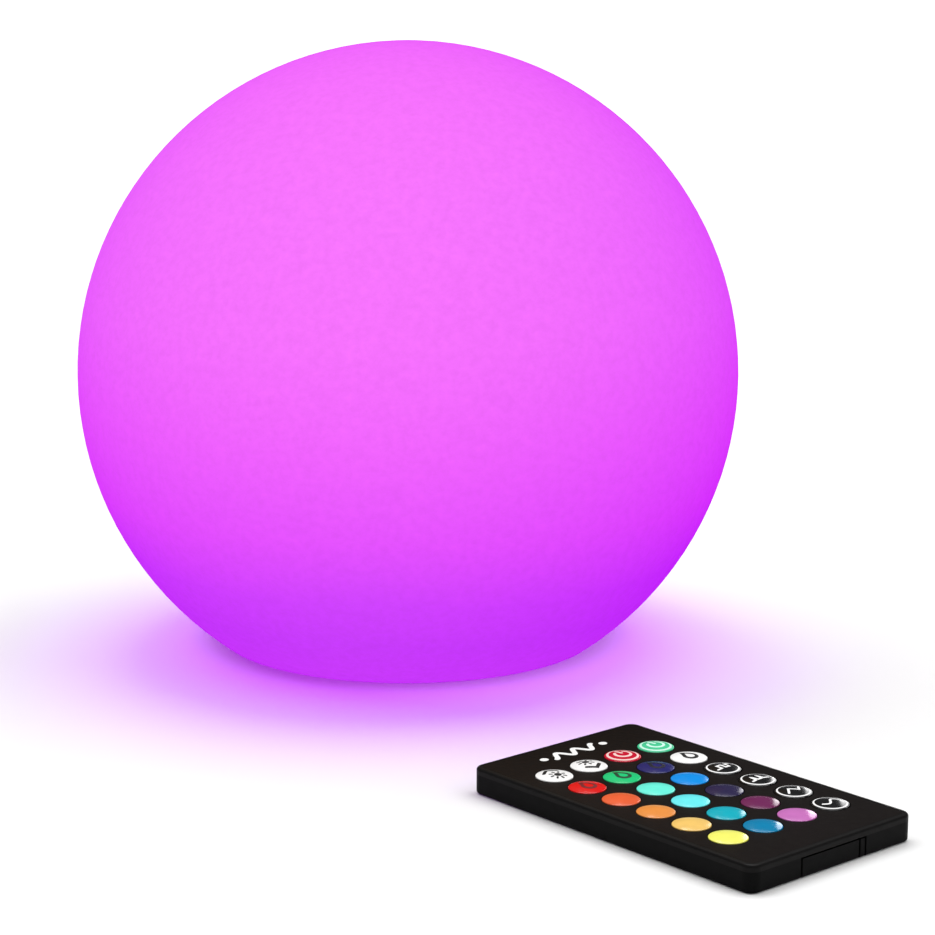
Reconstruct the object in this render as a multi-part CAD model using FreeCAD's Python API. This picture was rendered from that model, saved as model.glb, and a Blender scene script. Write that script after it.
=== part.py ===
"""Floating pool light: a frosted globe that stands on a small flat foot, and its card remote control.

All sizes are in millimetres. The frame's origin is the centre of the globe's flat foot, with +Z up.
The remote lies flat on the same surface, in front of the globe and to its right. Each sub-part is a
function that returns one shape, and the last section writes every shape to parts/NODE.step.
"""

import FreeCAD
import Part
import math
import os

V = FreeCAD.Vector

# ---------------------------------------------------------------- driving dimensions: globe

GLOBE_R = 100.0            # outside radius of the globe
CENTRE_Z = 81.5            # height of the globe's centre above its flat foot
SHELL_WALL = 2.5
FOOT_FILLET = 1.2          # rounding between the globe and its foot
FOOT_FLOOR = 3.0           # thickness of the shell's flat floor
RECESS_R = 46.5            # recess in the foot that takes the base housing's flange
SEAT_Z = 7.0               # underside of the shell's thick seat ring
SEAT_TOP_Z = 15.0
SEAT_OUTER_R = 50.0
OPENING_R = 39.5           # clear opening inside the seat ring

# ---------------------------------------------------------------- driving dimensions: base unit

FLANGE_R = 46.2
FLANGE_Z = 1.5             # underside of the base unit, clear of the table
FLANGE_TOP_Z = 6.8
FLOOR_TOP_Z = 4.5          # inside floor of the base housing
CUP_R = 37.5
CUP_WALL = 2.2
CUP_TOP_Z = 30.0
HOUSING_SCREWS = 6
HOUSING_SCREW_PCD_R = 43.0
LED_BOARD_Z = 27.0
LED_BOARD_R = 34.9
LED_BOARD_T = 1.6
CONTROL_BOARD_Z = 12.0
CONTROL_BOARD_T = 1.6
DOME_SKIRT_R = 39.2
DOME_SKIRT_Z = 21.0
DOME_RISE = 13.0
DOME_WALL = 1.5

BATTERY_R = 9.25
BATTERY_LENGTH = 64.0
BATTERY_Y = -3.5
BATTERY_Z = 14.8

BUTTON_X = -8.0            # power button and charging port stand side by side
PORT_X = 8.0
CONTROLS_Y = 20.0
BUTTON_R = 5.0
BUTTON_TRAVEL = 0.5
PLUG_PIVOT_X = 20.0
PLUG_PIVOT_Z = 2.5

# ---------------------------------------------------------------- driving dimensions: remote

CASE_LENGTH = 97.0
CASE_WIDTH = 57.0
CASE_HEIGHT = 7.0
CASE_CORNER = 3.0
CASE_EDGE = 0.8            # rounding of the case's top and bottom edges
CASE_WALL = 1.4
CASE_FLOOR = 1.0
PARTING_Z = 5.2            # where the two halves of the case meet
TOP_PLATE_Z = 5.8          # underside of the top plate
OVERLAY_T = 0.2
OVERLAY_INSET = 1.5
REMOTE_CENTRE = V(68.5, -174.3, 0.0)
REMOTE_TURN = -50.1        # degrees about +Z, from the frame's X to the remote's length

KEY_PITCH = 12.0
KEY_ROWS = 6
KEY_COLUMNS = 4
KEY_GRID_X = 1.1           # middle of the key grid, from the case's middle
KEY_R = 4.8
KEY_HOLE_R = 4.95
KEY_FLANGE_R = 5.4
KEY_FLANGE_Z = 5.35
KEY_FLANGE_T = 0.35
KEY_STEM_R = 2.5
KEY_STEM_Z = 5.2
KEY_RIM_Z = 7.15
KEY_CROWN_Z = 7.8

REMOTE_BOARD_Z = 4.1
REMOTE_BOARD_T = 0.7
WEB_T = 0.15
NOTCH_X = -42.6            # the board's notch for the emitter reaches this far in
BOARD_INSET = 2.3          # from the case's outline to the edge of the remote's board
PIN_X = 43.0               # locating pins at the remote's four corners
PIN_Y = 23.0

CELL_R = 10.0
CELL_T = 2.5
CELL_X = 35.8
CELL_Y = -0.25
CELL_Z = 1.1
TRAY_Y0, TRAY_Y1 = -11.2, 10.7
TRAY_BACK_X = 24.9
TRAY_FRONT_X = CASE_LENGTH / 2 - 2.5
TRAY_TOP_Z = 3.55
TRAY_PLATE_TOP_Z = 4.8
LATCH_ROOT_X = 42.5
LATCH_Y0 = 9.2
TRAY_GAP = 0.3             # between the tray and its guide ribs
TRAY_SLIT = 0.6            # round the tray's end plate and its latch
LEDGE = 1.1                # how far the case's floor reaches under each side of the tray

KEY_NAMES = (
    ("brighter", "dimmer", "off", "on"),
    ("red", "green", "blue", "white"),
    ("scarlet", "aqua", "azure", "flash"),
    ("orange", "cyan", "indigo", "strobe"),
    ("amber", "teal", "plum", "fade"),
    ("yellow", "cerulean", "pink", "smooth"),
)


# ---------------------------------------------------------------- shared helpers

def block(x0, x1, y0, y1, z0, z1):
    return Part.makeBox(x1 - x0, y1 - y0, z1 - z0, V(x0, y0, z0))


def disc(radius, z0, z1, x=0.0, y=0.0):
    return Part.makeCylinder(radius, z1 - z0, V(x, y, z0))


def ring(outer, inner, z0, z1, x=0.0, y=0.0):
    return disc(outer, z0, z1, x, y).cut(disc(inner, z0, z1, x, y))


def rounded_plate(x0, x1, y0, y1, corner, z0, z1):
    """A plate with its four upright corners rounded."""
    plate = block(x0, x1, y0, y1, z0, z1)
    upright = [e for e in plate.Edges if abs(e.Vertexes[0].Z - e.Vertexes[-1].Z) > 1e-6]
    return plate.makeFillet(corner, upright)


def stadium(length, width, z0, z1, x=0.0, y=0.0):
    """A plate with half-round ends, its length along X."""
    half = (length - width) / 2
    middle = block(x - half, x + half, y - width / 2, y + width / 2, z0, z1)
    ends = [disc(width / 2, z0, z1, x + side * half, y) for side in (-1, 1)]
    return joined([middle] + ends)


def joined(shapes):
    """Shapes that touch or overlap, as one solid."""
    return shapes[0].multiFuse(shapes[1:]).removeSplitter()


def group(shapes):
    """Separate solids kept together in one node."""
    return Part.makeCompound([s for shape in shapes for s in shape.Solids])


def line(a, b):
    return Part.LineSegment(V(a[0], 0, a[1]), V(b[0], 0, b[1])).toShape()


def arc(a, through, b):
    points = [V(p[0], 0, p[1]) for p in (a, through, b)]
    return Part.Arc(*points).toShape()


def turned(edges):
    """Solid of revolution about Z from a closed outline of (radius, height) edges."""
    face = Part.Face(Part.Wire(edges))
    return face.revolve(V(0, 0, 0), V(0, 0, 1), 360)


def turned_outline(points):
    """Solid of revolution about Z from a closed outline of straight sides."""
    return turned([line(a, b) for a, b in zip(points, points[1:] + points[:1])])


def on_circle(shape, count, radius, first_angle=0.0):
    """Copies of a shape, drawn on the Z axis, placed evenly on a circle and turned with it."""
    copies = []
    for i in range(count):
        copy = shape.copy()
        copy.translate(V(radius, 0, 0))
        copy.rotate(V(0, 0, 0), V(0, 0, 1), first_angle + 360.0 * i / count)
        copies.append(copy)
    return copies


def at_points(shape, points):
    copies = []
    for x, y in points:
        copy = shape.copy()
        copy.translate(V(x, y, 0))
        copies.append(copy)
    return copies


def wire_tube(points, radius, share=0.45):
    """A round wire along straight runs joined by tangent arcs that are as large as the runs allow."""
    corners = [V(*p) for p in points]
    edges = []
    start = corners[0]
    for before, corner, after in zip(corners, corners[1:], corners[2:]):
        way_in = (before - corner).normalize()
        way_out = (after - corner).normalize()
        reach = share * min((before - corner).Length, (after - corner).Length)
        a = corner + way_in * reach
        b = corner + way_out * reach
        half_turn = (math.pi - way_in.getAngle(way_out)) / 2
        bend = reach / math.tan(half_turn)
        to_centre = (way_in + way_out).normalize()
        middle = corner + to_centre * (bend / math.cos(half_turn) - bend)
        edges.append(Part.LineSegment(start, a).toShape())
        edges.append(Part.Arc(a, middle, b).toShape())
        start = b
    edges.append(Part.LineSegment(start, corners[-1]).toShape())
    direction = corners[1] - corners[0]
    section = Part.Wire(Part.Circle(corners[0], direction, radius).toShape())
    return Part.Wire(edges).makePipeShell([section], True, False)


def pan_head_screw(head_r, head_h, shank_r, length):
    """A cross-recessed screw on the Z axis: its head's face looks down from z = 0, its shank points up."""
    edge = 0.35 * head_h
    tip = 0.6 * shank_r
    total = head_h + length
    screw = turned([
        line((0, 0), (head_r - edge, 0)),
        arc((head_r - edge, 0), (head_r - 0.3 * edge, 0.3 * edge), (head_r, edge)),
        line((head_r, edge), (head_r, head_h)),
        line((head_r, head_h), (shank_r, head_h)),
        line((shank_r, head_h), (shank_r, total - tip)),
        line((shank_r, total - tip), (shank_r - tip / 2, total)),
        line((shank_r - tip / 2, total), (0, total)),
        line((0, total), (0, 0)),
    ])
    slot, reach, depth = 0.16 * head_r, 0.58 * head_r, 0.55 * head_h
    cross = joined([
        block(-reach, reach, -slot, slot, -1, depth),
        block(-slot, slot, -reach, reach, -1, depth),
    ])
    return screw.cut(cross)


def head_up(screw):
    """The same screw with its head's face looking up at z = 0."""
    copy = screw.copy()
    copy.rotate(V(0, 0, 0), V(1, 0, 0), 180)
    return copy


def lifted(shape, z):
    copy = shape.copy()
    copy.translate(V(0, 0, z))
    return copy


# ---------------------------------------------------------------- globe shell

def globe_arc(radius, floor_z, fillet):
    """Outline from the top of a sphere down to a flat floor, rounded where they meet.

    Returns the two arcs and the point where the rounding ends on the floor.
    """
    fillet_z = floor_z + fillet
    fillet_r = math.sqrt((radius - fillet) ** 2 - (CENTRE_Z - fillet_z) ** 2)
    scale = radius / (radius - fillet)
    touch = (fillet_r * scale, CENTRE_Z + (fillet_z - CENTRE_Z) * scale)
    side = (fillet_r / (radius - fillet), (fillet_z - CENTRE_Z) / (radius - fillet))
    middle = (side[0], side[1] - 1.0)
    size = math.hypot(*middle)
    through = (fillet_r + fillet * middle[0] / size, fillet_z + fillet * middle[1] / size)
    top = (0.0, CENTRE_Z + radius)
    ground = (fillet_r, floor_z)
    sphere = arc(top, (radius, CENTRE_Z), touch)
    return sphere, arc(touch, through, ground), top, ground


def globe_shell():
    """Blow-moulded globe with a flat foot, a recess for the base unit and a thick seat ring above it."""
    sphere, fillet, top, ground = globe_arc(GLOBE_R, 0.0, FOOT_FILLET)
    inner, inner_fillet, inner_top, inner_ground = globe_arc(
        GLOBE_R - SHELL_WALL, FOOT_FLOOR, FOOT_FILLET)
    bevel = 1.0
    ring_points = [
        ground, (RECESS_R + bevel, 0.0), (RECESS_R, bevel), (RECESS_R, SEAT_Z), (OPENING_R, SEAT_Z),
        (OPENING_R, SEAT_TOP_Z), (SEAT_OUTER_R - bevel, SEAT_TOP_Z), (SEAT_OUTER_R, SEAT_TOP_Z - bevel),
        (SEAT_OUTER_R, FOOT_FLOOR), inner_ground,
    ]
    edges = [sphere, fillet]
    edges += [line(a, b) for a, b in zip(ring_points, ring_points[1:])]
    edges += [inner_fillet, inner, line(inner_top, top)]
    shell = turned(edges)
    holes = on_circle(disc(INSERT_R, SEAT_Z - 1, SEAT_Z + INSERT_LENGTH + 0.5), HOUSING_SCREWS,
                      HOUSING_SCREW_PCD_R, HOUSING_SCREW_ANGLE)
    return shell.cut(Part.makeCompound(holes))


INSERT_R = 2.0
INSERT_BORE_R = 1.25
INSERT_LENGTH = 6.0
HOUSING_SCREW_ANGLE = 30.0


def shell_inserts():
    """Brass threaded inserts moulded into the seat ring."""
    z0 = SEAT_Z + 0.2
    insert = ring(INSERT_R, INSERT_BORE_R, z0, z0 + INSERT_LENGTH)
    return group(on_circle(insert, HOUSING_SCREWS, HOUSING_SCREW_PCD_R, HOUSING_SCREW_ANGLE))


# ---------------------------------------------------------------- base unit

SCREW_SEAT_Z = 4.0         # where the housing screws' heads bear
HOUSING_HEAD_R = 2.8
HOUSING_HEAD_H = 1.9
GASKET_R0, GASKET_R1 = 39.8, 41.2
GASKET_Z0 = 5.6
PORT_RECESS_TOP_Z = 3.3
LED_POST_R = 31.7
LED_POST_ANGLES = (90.0, 215.0, 325.0)
CONTROL_POSTS = [(x, y) for x in (-15.0, 15.0) for y in (14.2, 26.0)]
CLAMP_BOSSES = [(0.0, BATTERY_Y - 13.5), (0.0, BATTERY_Y + 13.5)]
CLAMP_BOSS_TOP_Z = 8.5
SEAL_GROOVE_Z0, SEAL_GROOVE_Z1 = 24.5, 26.5
SEAL_GROOVE_DEPTH = 0.9
SEAL_RING_R = 5.2


def led_posts():
    return [(LED_POST_R * math.cos(math.radians(a)), LED_POST_R * math.sin(math.radians(a)))
            for a in LED_POST_ANGLES]


def port_recess():
    """Where the port's plug and its strap lie, open below."""
    return rounded_plate(1.6, 26.0, CONTROLS_Y - 5.4, CONTROLS_Y + 5.4, 3.0, 0.0, PORT_RECESS_TOP_Z)


def base_housing():
    """Moulded base: a screwed flange under the globe and a cup that stands up inside it."""
    inner_r = CUP_R - CUP_WALL
    flange = disc(FLANGE_R, FLANGE_Z, FLOOR_TOP_Z)
    flange = flange.makeChamfer(0.6, [e for e in flange.Edges if abs(e.BoundBox.ZMax - FLANGE_Z) < 1e-6])
    rim = ring(FLANGE_R, GASKET_R0 - 1.2, FLOOR_TOP_Z - 1, FLANGE_TOP_Z)
    cup = ring(CUP_R, inner_r, FLOOR_TOP_Z - 1, CUP_TOP_Z)
    ledge = ring(inner_r + 0.2, inner_r - 1.7, LED_BOARD_Z - 2, LED_BOARD_Z)
    posts = at_points(disc(3.8, FLOOR_TOP_Z - 1, LED_BOARD_Z), led_posts())
    posts += at_points(disc(2.0, FLOOR_TOP_Z - 1, CONTROL_BOARD_Z), CONTROL_POSTS)
    posts += at_points(disc(2.6, FLOOR_TOP_Z - 1, CLAMP_BOSS_TOP_Z), CLAMP_BOSSES)
    saddles = [block(x - 1.5, x + 1.5, BATTERY_Y - 9, BATTERY_Y + 9, FLOOR_TOP_Z - 1, 11.5)
               for x in (-20.0, 20.0)]
    body = joined([flange, rim, cup, ledge] + posts + saddles)
    cell = Part.makeCylinder(BATTERY_R, 80, V(-40, BATTERY_Y, BATTERY_Z), V(1, 0, 0))
    cell = cell.common(block(-33, 33, -30, 30, 0, 30))
    cuts = [cell]
    cuts += on_circle(disc(HOUSING_HEAD_R + 0.4, 0, SCREW_SEAT_Z), HOUSING_SCREWS,
                      HOUSING_SCREW_PCD_R, HOUSING_SCREW_ANGLE)
    cuts += on_circle(disc(1.7, 0, 10), HOUSING_SCREWS, HOUSING_SCREW_PCD_R, HOUSING_SCREW_ANGLE)
    cuts += [ring(GASKET_R1, GASKET_R0, GASKET_Z0, FLANGE_TOP_Z + 1)]
    cuts += [ring(CUP_R + 1, CUP_R - SEAL_GROOVE_DEPTH, SEAL_GROOVE_Z0, SEAL_GROOVE_Z1)]
    cuts += at_points(disc(INNER_SCREW_R, LED_BOARD_Z - 9, LED_BOARD_Z + 1), led_posts())
    cuts += at_points(disc(INNER_SCREW_R, CONTROL_BOARD_Z - 6.5, CONTROL_BOARD_Z + 1), CONTROL_POSTS)
    cuts += at_points(disc(INNER_SCREW_R, FLOOR_TOP_Z - 1.5, CLAMP_BOSS_TOP_Z + 1), CLAMP_BOSSES)
    cuts += [port_recess(), stadium(9.4, 3.7, 0, 10, PORT_X, CONTROLS_Y)]
    cuts += [disc(1.2, 0, 10, PLUG_PIVOT_X + 3.2, CONTROLS_Y)]
    cuts += [disc(BUTTON_R + 0.2, 0, 10, BUTTON_X, CONTROLS_Y)]
    cuts += [ring(37.8, 37.0, 0, FLANGE_Z + 0.4)]
    return body.cut(Part.makeCompound(cuts))


INNER_SCREW_R = 0.95       # shank of the small screws inside the base unit
INNER_HEAD_R = 1.9
INNER_HEAD_H = 1.3


def housing_screws():
    screw = pan_head_screw(HOUSING_HEAD_R, HOUSING_HEAD_H, 1.24, 8.8)
    screw = lifted(screw, SCREW_SEAT_Z - HOUSING_HEAD_H)
    return group(on_circle(screw, HOUSING_SCREWS, HOUSING_SCREW_PCD_R, HOUSING_SCREW_ANGLE))


def housing_gasket():
    return ring(GASKET_R1, GASKET_R0, GASKET_Z0, SEAT_Z)


def light_dome():
    """Frosted cap that sleeves over the housing's cup and spreads the light of the emitters."""
    rise_r = (DOME_SKIRT_R ** 2 + DOME_RISE ** 2) / (2 * DOME_RISE)
    shoulder_z = CUP_TOP_Z + 3.0
    centre_z = shoulder_z + DOME_RISE - rise_r
    inner_skirt_r = CUP_R + 0.15
    inner_neck_r = CUP_R - 2.0

    def on_dome(radius, sphere_r):
        return (radius, centre_z + math.sqrt(sphere_r ** 2 - radius ** 2))

    inner_r = rise_r - DOME_WALL
    top = on_dome(0.0, rise_r)
    inner_top = on_dome(0.0, inner_r)
    inner_edge = on_dome(inner_neck_r, inner_r)
    outer_edge = (DOME_SKIRT_R, shoulder_z)
    return turned([
        arc(top, on_dome(DOME_SKIRT_R / 2, rise_r), outer_edge),
        line(outer_edge, (DOME_SKIRT_R, DOME_SKIRT_Z)),
        line((DOME_SKIRT_R, DOME_SKIRT_Z), (inner_skirt_r, DOME_SKIRT_Z)),
        line((inner_skirt_r, DOME_SKIRT_Z), (inner_skirt_r, CUP_TOP_Z)),
        line((inner_skirt_r, CUP_TOP_Z), (inner_neck_r, CUP_TOP_Z)),
        line((inner_neck_r, CUP_TOP_Z), inner_edge),
        arc(inner_edge, on_dome(inner_neck_r / 2, inner_r), inner_top),
        line(inner_top, top),
    ])


def dome_seal():
    """O-ring in the cup's groove, flattened against the dome's skirt."""
    return ring(CUP_R + 0.15, CUP_R - SEAL_GROOVE_DEPTH, SEAL_GROOVE_Z0 + 0.2, SEAL_GROOVE_Z1 - 0.2)


def led_board():
    top = LED_BOARD_Z + LED_BOARD_T
    board = disc(LED_BOARD_R, LED_BOARD_Z, top)
    holes = at_points(disc(1.2, LED_BOARD_Z - 1, top + 1), led_posts())
    return board.cut(Part.makeCompound(holes))


LED_RINGS = ((12, 23.0), (6, 11.0))


def led_emitters():
    """Surface-mounted RGB emitters in two rings, each a 5 mm square with a round window."""
    z0 = LED_BOARD_Z + LED_BOARD_T
    emitter = block(-2.5, 2.5, -2.5, 2.5, z0, z0 + 1.5).cut(disc(1.9, z0 + 1.2, z0 + 2))
    placed = []
    for count, radius in LED_RINGS:
        placed += on_circle(emitter, count, radius, 15.0)
    return group(placed)


def ir_receiver():
    """Infrared receiver that stands on the middle of the light board, with its lens looking up."""
    z0 = LED_BOARD_Z + LED_BOARD_T
    body_z = z0 + 1.2
    body = block(-2.8, 2.8, -2.0, 2.0, body_z, body_z + 4.2)
    lens = Part.makeSphere(1.9, V(0, 0, body_z + 4.2))
    legs = [block(x - 0.25, x + 0.25, -0.2, 0.2, z0, body_z + 0.5) for x in (-1.9, 0.0, 1.9)]
    return joined([body, lens] + legs)


def control_board():
    z0 = CONTROL_BOARD_Z
    board = rounded_plate(-17.6, 17.6, 12.0, 27.5, 2.0, z0, z0 + CONTROL_BOARD_T)
    holes = at_points(disc(1.1, z0 - 1, z0 + 3), CONTROL_POSTS)
    return board.cut(Part.makeCompound(holes))


def controller_chips():
    """Controller, charging circuit, two drivers and a choke on the control board."""
    z0 = CONTROL_BOARD_Z + CONTROL_BOARD_T

    def chip(x, y, length, width, height, legs_per_side):
        body = block(x - length / 2, x + length / 2, y - width / 2, y + width / 2, z0 + 0.1, z0 + height)
        span = width / 2 + 0.8
        legs = []
        for i in range(legs_per_side):
            leg_x = x + (i - (legs_per_side - 1) / 2) * 1.27
            legs.append(block(leg_x - 0.2, leg_x + 0.2, y - span, y + span, z0, z0 + 0.5))
        return joined([body] + legs)

    choke = joined([block(7.5, 12.5, 21.5, 26.5, z0, z0 + 2.6), disc(1.8, z0, z0 + 3.0, 10.0, 24.0)])
    return group([chip(-2.0, 24.0, 8.6, 3.8, 1.6, 6), chip(-10.5, 21.5, 4.8, 3.8, 1.5, 3), choke])


def charge_socket():
    """Upright USB-C receptacle: a drawn metal shell and the tongue inside it."""
    z0, z1 = PORT_RECESS_TOP_Z + 0.1, CONTROL_BOARD_Z
    shell = stadium(8.94, 3.26, z0, z1, PORT_X, CONTROLS_Y)
    shell = shell.cut(stadium(8.34, 2.66, z0 - 1, z1 - 1.5, PORT_X, CONTROLS_Y))
    tongue = block(PORT_X - 3.35, PORT_X + 3.35, CONTROLS_Y - 0.35, CONTROLS_Y + 0.35, z0 + 2.3, z1 - 1.0)
    return joined([shell, tongue])


SWITCH_Z = 8.5             # underside of the push switch's body


def power_switch():
    """Push switch under the control board, with a well for its plunger."""
    half = 3.0
    body = block(BUTTON_X - half, BUTTON_X + half, CONTROLS_Y - half, CONTROLS_Y + half,
                 SWITCH_Z, CONTROL_BOARD_Z)
    return body.cut(disc(1.85, SWITCH_Z - 1, SWITCH_Z + 1.5, BUTTON_X, CONTROLS_Y))


def switch_plunger():
    return disc(1.7, SWITCH_Z - 1.1, SWITCH_Z + 0.8, BUTTON_X, CONTROLS_Y)


def power_button():
    """Push button in the underside: a cap with a raised edge, a flange inside and a stem to the switch."""
    z0 = FLANGE_Z + 0.4
    flange_z = FLOOR_TOP_Z + 0.5
    edge = 0.5
    button = turned_outline([
        (0, z0 + 0.25), (BUTTON_R - 1.3, z0 + 0.25), (BUTTON_R - 1.1, z0), (BUTTON_R - edge, z0),
        (BUTTON_R, z0 + edge), (BUTTON_R, flange_z), (BUTTON_R + 1.2, flange_z),
        (BUTTON_R + 1.2, flange_z + 0.8), (1.6, flange_z + 0.8), (1.6, SWITCH_Z - 1.1), (0, SWITCH_Z - 1.1),
    ])
    button.translate(V(BUTTON_X, CONTROLS_Y, 0))
    return button


def button_seal():
    z0 = FLOOR_TOP_Z
    return ring(BUTTON_R + 2.0, BUTTON_R + 0.2, z0, z0 + 0.5, BUTTON_X, CONTROLS_Y)


def port_plug():
    """Silicone plug for the charging port: a cover, a bung in the socket and a strap that hinges."""
    z0, z1 = FLANGE_Z + 0.3, PORT_RECESS_TOP_Z - 0.1
    cover = rounded_plate(2.0, 14.0, CONTROLS_Y - 4.9, CONTROLS_Y + 4.9, 2.6, z0, z1)
    grip = rounded_plate(3.2, 5.4, CONTROLS_Y - 2.6, CONTROLS_Y + 2.6, 1.0, z0 - 0.25, z0 + 0.2)
    strap = block(13.0, PLUG_PIVOT_X, CONTROLS_Y - 2.4, CONTROLS_Y + 2.4, z0, z1)
    pivot = V(PLUG_PIVOT_X, CONTROLS_Y - 2.4, PLUG_PIVOT_Z)
    barrel = Part.makeCylinder((z1 - z0) / 2, 4.8, pivot, V(0, 1, 0))
    bung = stadium(7.6, 2.3, z1 - 0.2, z1 + 1.8, PORT_X, CONTROLS_Y)
    return joined([cover, grip, strap, barrel, bung])


def plug_anchor():
    """The strap's fixed end: a foot in the recess and a barbed stem through the housing's floor."""
    z0, z1 = FLANGE_Z + 0.3, PORT_RECESS_TOP_Z
    x = PLUG_PIVOT_X + 3.2
    foot = block(PLUG_PIVOT_X + 1.1, PLUG_PIVOT_X + 5.4, CONTROLS_Y - 2.4, CONTROLS_Y + 2.4, z0, z1)
    stem = disc(1.2, z1 - 0.5, FLOOR_TOP_Z + 0.5, x, CONTROLS_Y)
    barb = Part.makeCone(1.8, 1.0, 1.4, V(x, CONTROLS_Y, FLOOR_TOP_Z))
    return joined([foot, stem, barb])


# ---------------------------------------------------------------- battery and wiring

def battery_cell():
    """Rechargeable cell in its wrap, with a raised terminal at one end."""
    half = BATTERY_LENGTH / 2
    can = Part.makeCylinder(BATTERY_R - 0.05, BATTERY_LENGTH, V(-half, BATTERY_Y, BATTERY_Z), V(1, 0, 0))
    can = can.makeFillet(0.6, [e for e in can.Edges if e.BoundBox.XLength < 1e-6])
    terminal = Part.makeCylinder(2.9, 0.8, V(half - 0.2, BATTERY_Y, BATTERY_Z), V(1, 0, 0))
    return joined([can, terminal])


def battery_clamp():
    """Arched strap that holds the cell down, with a foot on each side."""
    half = 6.0
    inner, outer = BATTERY_R + 0.2, BATTERY_R + 2.0
    arch = Part.makeCylinder(outer, 2 * half, V(-half, BATTERY_Y, BATTERY_Z), V(1, 0, 0))
    arch = arch.common(block(-half, half, -40, 40, BATTERY_Z, 40))
    legs = block(-half, half, BATTERY_Y - outer, BATTERY_Y + outer, CLAMP_BOSS_TOP_Z, BATTERY_Z)
    foot = block(-3.2, 3.2, BATTERY_Y - 16.2, BATTERY_Y + 16.2, CLAMP_BOSS_TOP_Z, CLAMP_BOSS_TOP_Z + 1.8)
    body = joined([arch, legs, foot])
    bore = Part.makeCylinder(inner, 4 * half, V(-2 * half, BATTERY_Y, BATTERY_Z), V(1, 0, 0))
    throat = block(-2 * half, 2 * half, BATTERY_Y - inner, BATTERY_Y + inner, 0, BATTERY_Z)
    holes = at_points(disc(1.1, 0, 20), CLAMP_BOSSES)
    return body.cut(Part.makeCompound([bore, throat] + holes))


def inner_screws():
    """The small screws of the light board, the control board and the battery clamp."""
    screw = head_up(pan_head_screw(INNER_HEAD_R, INNER_HEAD_H, INNER_SCREW_R - 0.02, 5.4))
    on_light_board = lifted(screw, LED_BOARD_Z + LED_BOARD_T + INNER_HEAD_H)
    on_control_board = lifted(screw, CONTROL_BOARD_Z + CONTROL_BOARD_T + INNER_HEAD_H)
    on_clamp = lifted(screw, CLAMP_BOSS_TOP_Z + 1.8 + INNER_HEAD_H)
    return group(at_points(on_light_board, led_posts())
                 + at_points(on_control_board, CONTROL_POSTS)
                 + at_points(on_clamp, CLAMP_BOSSES))


LEAD_R = 0.7


def battery_leads():
    """The cell's two leads, from its protected end to the control board."""
    board_top = CONTROL_BOARD_Z + CONTROL_BOARD_T
    leads = []
    for shift in (0.0, 2.2):
        x, z = 30.2 - shift, 17.4 + shift
        wrap_y = BATTERY_Y + math.sqrt(BATTERY_R ** 2 - (z - LEAD_R - BATTERY_Z) ** 2)
        leads.append(wire_tube([
            (x, wrap_y, z), (x, 10.5, z), (24.0 - shift, 15.5, z + 1.0), (19.5 - shift, 18.5, z),
            (14.6 - shift, 18.5, z - 0.6), (14.6 - shift, 18.5, board_top),
        ], LEAD_R))
    return group(leads)


CONNECTOR_H = 4.0
HARNESS_Y0, HARNESS_Y1 = 16.0, 22.0
HARNESS_WIRES = 4
HARNESS_PITCH = 2.0


def led_harness():
    """Four wires from the control board up to the light board."""
    z0 = CONTROL_BOARD_Z + CONTROL_BOARD_T + CONNECTOR_H
    z1 = LED_BOARD_Z - CONNECTOR_H
    wires = []
    for i in range(HARNESS_WIRES):
        x = (i - (HARNESS_WIRES - 1) / 2) * HARNESS_PITCH
        wires.append(wire_tube([
            (x, HARNESS_Y0, z0), (x, HARNESS_Y0, z0 + 2.2), (x, HARNESS_Y1, z1 - 2.2), (x, HARNESS_Y1, z1),
        ], 0.6))
    return group(wires)


def harness_connectors():
    half_length, half_width = 5.2, 2.3
    board_top = CONTROL_BOARD_Z + CONTROL_BOARD_T
    places = ((HARNESS_Y0, board_top), (HARNESS_Y1, LED_BOARD_Z - CONNECTOR_H))
    housings = []
    for y, z in places:
        body = block(-half_length, half_length, y - half_width, y + half_width, z, z + CONNECTOR_H)
        slot = block(-half_length + 1.5, half_length - 1.5, y + half_width - 0.5, y + half_width + 1,
                     z + 1, z + CONNECTOR_H - 1)
        housings.append(body.cut(slot))
    return group(housings)


# ---------------------------------------------------------------- remote control, in its own frame

def key_places():
    """Node name and place of every key, row by row from the emitter's end."""
    places = []
    for row in range(KEY_ROWS):
        for column in range(KEY_COLUMNS):
            x = KEY_GRID_X + (row - (KEY_ROWS - 1) / 2) * KEY_PITCH
            y = (column - (KEY_COLUMNS - 1) / 2) * KEY_PITCH
            places.append(("key_" + KEY_NAMES[row][column], x, y))
    return places


def key_holes(radius, z0, z1):
    return Part.makeCompound([disc(radius, z0, z1, x, y) for _, x, y in key_places()])


def case_plate(inset, z0, z1):
    """The case's outline, moved in by an inset, as a plate."""
    x, y = CASE_LENGTH / 2 - inset, CASE_WIDTH / 2 - inset
    return rounded_plate(-x, x, -y, y, CASE_CORNER - inset, z0, z1)


def with_round_edge(shape, z):
    """The shape with its outer edge at one height rounded."""
    edges = [e for e in shape.Edges if abs(e.BoundBox.ZMin - z) < 1e-6 and abs(e.BoundBox.ZMax - z) < 1e-6]
    return shape.makeFillet(CASE_EDGE, edges)


def pin_places():
    return [(x, y) for x in (-PIN_X, PIN_X) for y in (-PIN_Y, PIN_Y)]


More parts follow.
